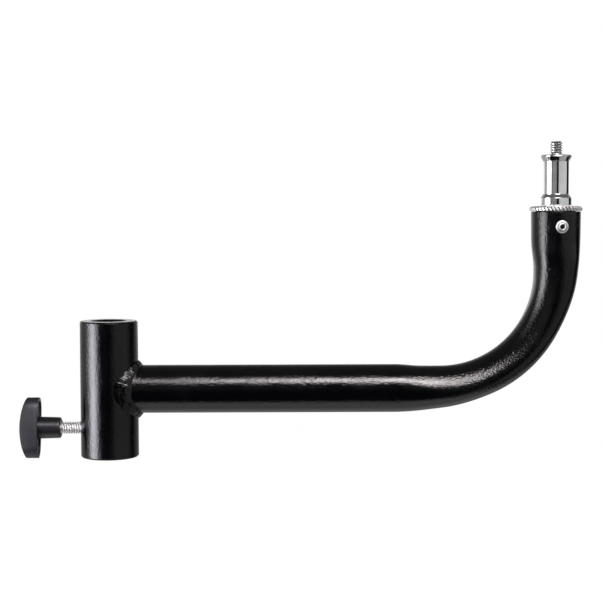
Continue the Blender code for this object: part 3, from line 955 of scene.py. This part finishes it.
def makeEndPlug(shape):
    # One turned ring, whose outer points then move in and round to cut the knurl.
    low = tubeTop + shape["flangeLow"]
    outer, thick = shape["outer"], shape["flange"]
    bottom = shape["lowChamfer"]
    shoulder, shoulderRise = shape["shoulder"]
    dome, domeRise = shape["dome"]
    body, chamfer = shape["bodyRadius"], shape["bodyChamfer"]
    breakIn, breakUp = shape["shoulderBreak"]
    top, end = low + thick, low - shape["bodyDepth"]
    bm = turned([
        (shape["bore"], end), (body - chamfer, end), (body, end + chamfer), (body, low),
        (outer - bottom, low), (outer, low + bottom),
        *[(outer, low + thick * share) for share in shape["landRings"]],
        (outer, top - domeRise - shoulderRise),
        (outer - shoulder * breakIn, top - domeRise - shoulderRise * (1 - breakUp)),
        (outer - shoulder, top - domeRise),
        (outer - shoulder - dome, top), (shape["bore"], top),
    ], shape["teeth"] * shape["pointsInTooth"], closed=True)
    for vert in bm.verts:
        out = sqrt(vert.co.x ** 2 + vert.co.y ** 2)
        if out < outer - shoulder - samePlace:
            continue
        turn = atan2(vert.co.y, vert.co.x)
        fromMiddle = abs(turn * shape["teeth"] / (2 * pi) % 1.0 - 0.5)
        groove = 1 - min(fromMiddle / shape["grooveHalf"], 1)
        turn += shape["slant"] * 2 * pi / shape["teeth"] * (vert.co.z - low) / thick
        out -= shape["toothDepth"] * groove * ease(out, outer - shoulder / 2, shoulder / 2)
        vert.co = (out * cos(turn), out * sin(turn), vert.co.z)
    piece = addMesh("knurled_plug", bm, studPlace)
    combine(piece, bar(shape["rivetHole"], shape["rivetHoleEnd"], outer), place=rivetPlace)
    dress(piece, brightZinc, "arm", "bright_zinc", "end_plug", sharp=28)


# Its knurl's grooves get painted shade.
brightZinc = makeTurnedMetal("bright_zinc", metalLook["zinc"],
                             paintedShade=((studAxis, 0, 0), *plugShape["paintedShade"],
                                    tubeTop + plugShape["flangeLow"]
                                    + plugShape["flange"] * plugShape["paintedShadeTop"]))
makeEndPlug(plugShape)


# Threads, 20 to the inch

threadShape = {
    "radius": 3.175 * mm,
    "pitch": 1.27 * mm,
    "depth": 0.74 * mm,
    "steps": 56,  # in a turn
    "form": [(0.0, 0.0), (0.09, 0.0), (0.24, 0.5), (0.40, 1.0), (0.60, 1.0), (0.76, 0.5),
             (0.91, 0.0), (1.0, 0.0)],  # share of the pitch, share of the depth
}


def threadBar(low, high, shape, startLead, endLead):
    # A right-handed thread between two heights, its ends chamfered by the leads.
    root = shape["radius"] - shape["depth"]
    turns = ceil((high - low) / shape["pitch"]) + 2
    bm = bmesh.new()
    geometry = chain(bm, [(root + depth * shape["depth"], 0, low + (along - 1) * shape["pitch"])
                          for along, depth in shape["form"]])
    bmesh.ops.spin(bm, geom=geometry, axis=(0, 0, 1), cent=(0, 0, 0), angle=2 * pi * turns,
                   dvec=(0, 0, shape["pitch"] / shape["steps"]), steps=turns * shape["steps"],
                   use_merge=False, use_duplicate=False)
    bmesh.ops.remove_doubles(bm, verts=bm.verts, dist=samePlace)
    for height, away in ((low, -1), (high, 1)):
        bmesh.ops.bisect_plane(bm, geom=bm.verts[:] + bm.edges[:] + bm.faces[:],
                               plane_co=(0, 0, height), plane_no=(0, 0, away),
                               clear_outer=True, dist=samePlace / 10)
        rim = [edge for edge in bm.edges if edge.is_boundary
               and all(abs(vert.co.z - height) < samePlace for vert in edge.verts)]
        bmesh.ops.edgeloop_fill(bm, edges=rim)
    for vert in bm.verts:
        radius = sqrt(vert.co.x ** 2 + vert.co.y ** 2)
        limit = shape["radius"] - max(startLead + low - vert.co.z, endLead + vert.co.z - high, 0)
        if radius > limit:
            vert.co.x *= limit / radius
            vert.co.y *= limit / radius
    tidy(bm)
    return bm


# Stud: turned from one bar, with a male thread on its top

studShape = {
    "collar": 3.8 * mm,
    "collarCone": 1.9 * mm,
    "waist": 6.6 * mm,  # radius
    "waistLength": 17.0 * mm,
    "flangeCone": 2.3 * mm,
    "flange": 1.0 * mm,
    "edge": 0.2 * mm,
    "topEdge": 0.85 * mm,
    "fillet": 0.28 * mm,
    "coneTangent": 0.4,  # about that of half the angle between a cone and the upright
    "shank": 4.0 * mm,
    "shankLength": 14.0 * mm,
    "threadLow": 0.35 * mm,  # start of the thread above the flange
    "threadLeads": (0.4 * mm, 0.7 * mm),
    "relief": 2.45 * mm,  # radius of the run-out groove under the thread
    "reliefFoot": (0.5 * mm, 0.25 * mm),  # out and up, of the cone at its foot
    "reliefTop": 0.9 * mm,
    "paintedShade": (2.45 * mm, 2.80 * mm),  # radii between which the painted shade in the thread roots ends
    "paintedShadeEnd": 0.1 * mm,  # below the thread's end, where the painted shade stops
    "steps": 160,
}


def makeStud(shape):
    outer = (studHigh.x - studLow.x) / 2
    edge, waist, shank = shape["edge"], shape["waist"], shape["shank"]
    topEdge = shape["topEdge"]
    bottom = studLow.z + shape["shankLength"]
    collarTop = bottom + shape["collar"]
    waistLow = collarTop + shape["collarCone"]
    waistHigh = waistLow + shape["waistLength"]
    flangeLow = waistHigh + shape["flangeCone"]
    top = flangeLow + shape["flange"]
    soft, relief = shape["fillet"], shape["relief"]
    footOut, footUp = shape["reliefFoot"]
    slope = shape["coneTangent"]
    bm = turned([
        (0, studLow.z), (shank - edge, studLow.z), (shank, studLow.z + edge), (shank, bottom),
        *corner((outer - edge, bottom + edge), edge, -90, 0),
        *corner((outer - edge, collarTop - edge * (1 - slope)), edge, 0, 45),
        *corner((waist + soft, waistLow + soft * slope), soft, 225, 180),
        *corner((waist + soft, waistHigh - soft * slope), soft, 180, 135),
        *corner((outer - edge, top - topEdge), edge, -45, 0),
        *corner((outer - topEdge, top - topEdge), topEdge, 0, 90, 7),
        (relief + footOut, top), (relief, top + footUp),
        (relief, top + shape["reliefTop"]), (0, top + shape["reliefTop"]),
    ], shape["steps"])
    piece = addMesh("threaded_stud", bm, studPlace)
    thread = threadBar(top + shape["threadLow"], studHigh.z, threadShape, *shape["threadLeads"])
    combine(piece, thread, "UNION", studPlace)
    dress(piece, chrome, "arm", "chrome", "spigot", sharp=25)


# Its thread's roots get painted shade.
chrome = makeTurnedMetal("chrome", metalLook["chrome"],
                         paintedShade=((studAxis, 0, 0), *studShape["paintedShade"],
                                studHigh.z - studShape["paintedShadeEnd"]))
makeStud(studShape)


# Blind rivet that pins the plug: its head shows the setting tool's rings

rivetShape = {
    "seat": 13.125 * mm,  # from the stud's axis
    "grip": 5.6 * mm,
    "shank": 1.6 * mm,
    "head": 3.3 * mm,
    "edge": 0.18 * mm,
    "bore": 1.0 * mm,
    "face": ((2.72, 0.62), (2.46, 0.66), (2.26, 0.66), (2.18, 0.94), (1.95, 1.16),
             (1.70, 1.28), (1.52, 1.30), (1.38, 1.26), (1.28, 1.14), (1.24, 0.68),
             (1.00, 0.44)),  # mm, out and up from the seat, from the edge to the bore
    "steps": 96,
}


def makeRivet(shape):
    seat, edge = shape["seat"], shape["edge"]
    bm = turned([
        (shape["bore"], seat - shape["grip"]),
        (shape["shank"], seat - shape["grip"]),
        (shape["shank"], seat),
        *corner((shape["head"] - edge, seat + edge), edge, -90, 60),
        *[(out * mm, seat + up * mm) for out, up in shape["face"]],
    ], shape["steps"], closed=True)
    piece = addMesh("blind_rivet", bm, rivetPlace)
    dress(piece, rivetMetal, "arm", "rivet_aluminium", "rivet_body", sharp=40)


rivetMetal = makeRivetMetal(rivetLook, (studAxis, 0, rivetHeight), rivetTurn)
makeRivet(rivetShape)

stemSteel = makeStemSteel(stemLook)
for node, finish in (("rivet_mandrel", stemSteel),
                     ("pressure_pad", makeTurnedMetal("pad_brass", metalLook["brass"]))):
    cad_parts[node].data.materials.clear()
    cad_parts[node].data.materials.append(finish)


# Clamp screw, along local Z into the receiver

screwShape = {
    "root": -25.5 * mm,  # end inside the knob
    "threadFrom": -12.0 * mm,
    "tip": 3.35 * mm,
    "lead": 0.6 * mm,
    "neck": 1.2 * mm,
    "neckLength": 1.4 * mm,
    "shank": 3.175 * mm,
    "shankOverlap": 0.2 * mm,
    "neckOverlap": 0.5 * mm,
    "paintedShade": (2.36 * mm, 2.56 * mm),  # radii between which the painted shade in the thread roots ends
}


def makeClampScrew(shape):
    bm = threadBar(shape["threadFrom"], shape["tip"], threadShape, 0, shape["lead"])
    piece = addMesh("clamp_screw_thread", bm, clampPlace)
    shank = bar(shape["shank"], shape["root"], shape["threadFrom"] + shape["shankOverlap"], 64)
    combine(piece, shank, "UNION", clampPlace)
    neck = bar(shape["neck"], shape["tip"] - shape["neckOverlap"],
               shape["tip"] + shape["neckLength"])
    combine(piece, neck, "UNION", clampPlace)
    dress(piece, screwZinc, "clamp", "screw_zinc", "clamp_screw", sharp=25)


# Its thread's roots get painted shade up to the receiver's axis.
screwZinc = makeTurnedMetal("screw_zinc", metalLook["screw"],
                            paintedShade=((0, 0, clampHeight), *screwShape["paintedShade"], 0))
makeClampScrew(screwShape)


# Wing knob: moulded, with a hub, and hollow at its back with a web across the hollow

knobShape = {
    "standoff": 10.3 * mm,  # receiver to hub
    "hubLength": 11.6 * mm,
    "hubRadius": 5.45 * mm,
    "hubRoot": 5.75 * mm,
    "hubEdge": 1.0 * mm,
    "length": 31.6 * mm,
    "width": 13.0 * mm,
    "depth": 9.15 * mm,
    "endRadius": 6.0 * mm,
    "bow": 0.13,  # share of the width that the sides lose towards the ends
    "sideSteps": 12,
    "crown": 42.0 * mm,
    "frontEdge": 1.3 * mm,
    "backEdge": 0.35 * mm,
    "wall": 1.8 * mm,
    "pocket": 5.0 * mm,
    "web": 1.6 * mm,
    "webRecess": 0.4 * mm,
    "webEdge": 0.3 * mm,
    "screwHole": 3.475 * mm,
    "screwEnd": -25.8 * mm,
}


def wingBlock(shape, low, high, shrink=0.0):
    # A block along local Z with round ends and slightly bowed sides, the wing's outline.
    length = shape["length"] - 2 * shrink
    bm = block(length, shape["width"] - 2 * shrink, low, high)
    upright = [edge for edge in bm.edges
               if abs(edge.verts[0].co.z - edge.verts[1].co.z) > (high - low) / 2]
    bevel(bm, upright, shape["endRadius"] - shrink, 14)
    places = sorted({round(vert.co.x, 7) for vert in bm.verts})[1:-1]
    left, right = max(x for x in places if x < 0), min(x for x in places if x > 0)
    cuts = shape["sideSteps"]
    places += [left + (right - left) * step / cuts for step in range(1, cuts)]
    for place in places:
        bmesh.ops.bisect_plane(bm, geom=bm.verts[:] + bm.edges[:] + bm.faces[:],
                               plane_co=(place, 0, 0), plane_no=(1, 0, 0), dist=samePlace)
    for vert in bm.verts:
        vert.co.y *= 1 - shape["bow"] * (2 * vert.co.x / length) ** 2
    return bm


def makeWing(shape, back):
    front = back - shape["depth"]
    bm = wingBlock(shape, front, back)
    for vert in bm.verts:
        if vert.co.z < front + samePlace:
            crown = shape["crown"]
            vert.co.z += crown - sqrt(crown * crown - vert.co.x * vert.co.x)

    def rim(test):
        # The wing's outline at its front or back, where its faces meet at a steep angle.
        return [edge for edge in bm.edges if edge.calc_face_angle(0) > radians(50)
                and all(test(vert.co.z) for vert in edge.verts)]

    bevel(bm, rim(lambda z: z < back - samePlace), shape["frontEdge"], 5)
    bevel(bm, rim(lambda z: z > back - samePlace), shape["backEdge"], 3)
    tidy(bm)
    return bm


def makeKnob(shape):
    hubEnd = -shape["standoff"]
    back = hubEnd - shape["hubLength"]
    floor = back - shape["pocket"]
    sunk = floor - shape["wall"] / 2
    piece = addMesh("wing_knob", makeWing(shape, back), clampPlace)
    combine(piece, wingBlock(shape, floor, back + cutOver, shape["wall"]), place=clampPlace)
    edge, end, root = shape["hubEdge"], shape["hubRadius"], shape["hubRoot"]
    hub = turned([(0, sunk), (root, sunk), (root, back),
                  *corner((end - edge, hubEnd - edge), edge, 0, 90, 6), (0, hubEnd)], 96)
    combine(piece, hub, "UNION", clampPlace)
    high = back - shape["webRecess"]
    web = block(shape["length"] - shape["wall"], shape["web"], sunk, high)
    bevel(web, [edge for edge in web.edges
                if all(vert.co.z > high - samePlace for vert in edge.verts)],
          shape["webEdge"], 3)
    combine(piece, web, "UNION", clampPlace)
    combine(piece, bar(shape["screwHole"], shape["screwEnd"], hubEnd + cutOver, 64),
            place=clampPlace)
    dress(piece, knobPlastic, "clamp", "knob_plastic", "clamp_knob", sharp=40)


knobPlastic = makePlastic(plasticLook)
makeKnob(knobShape)
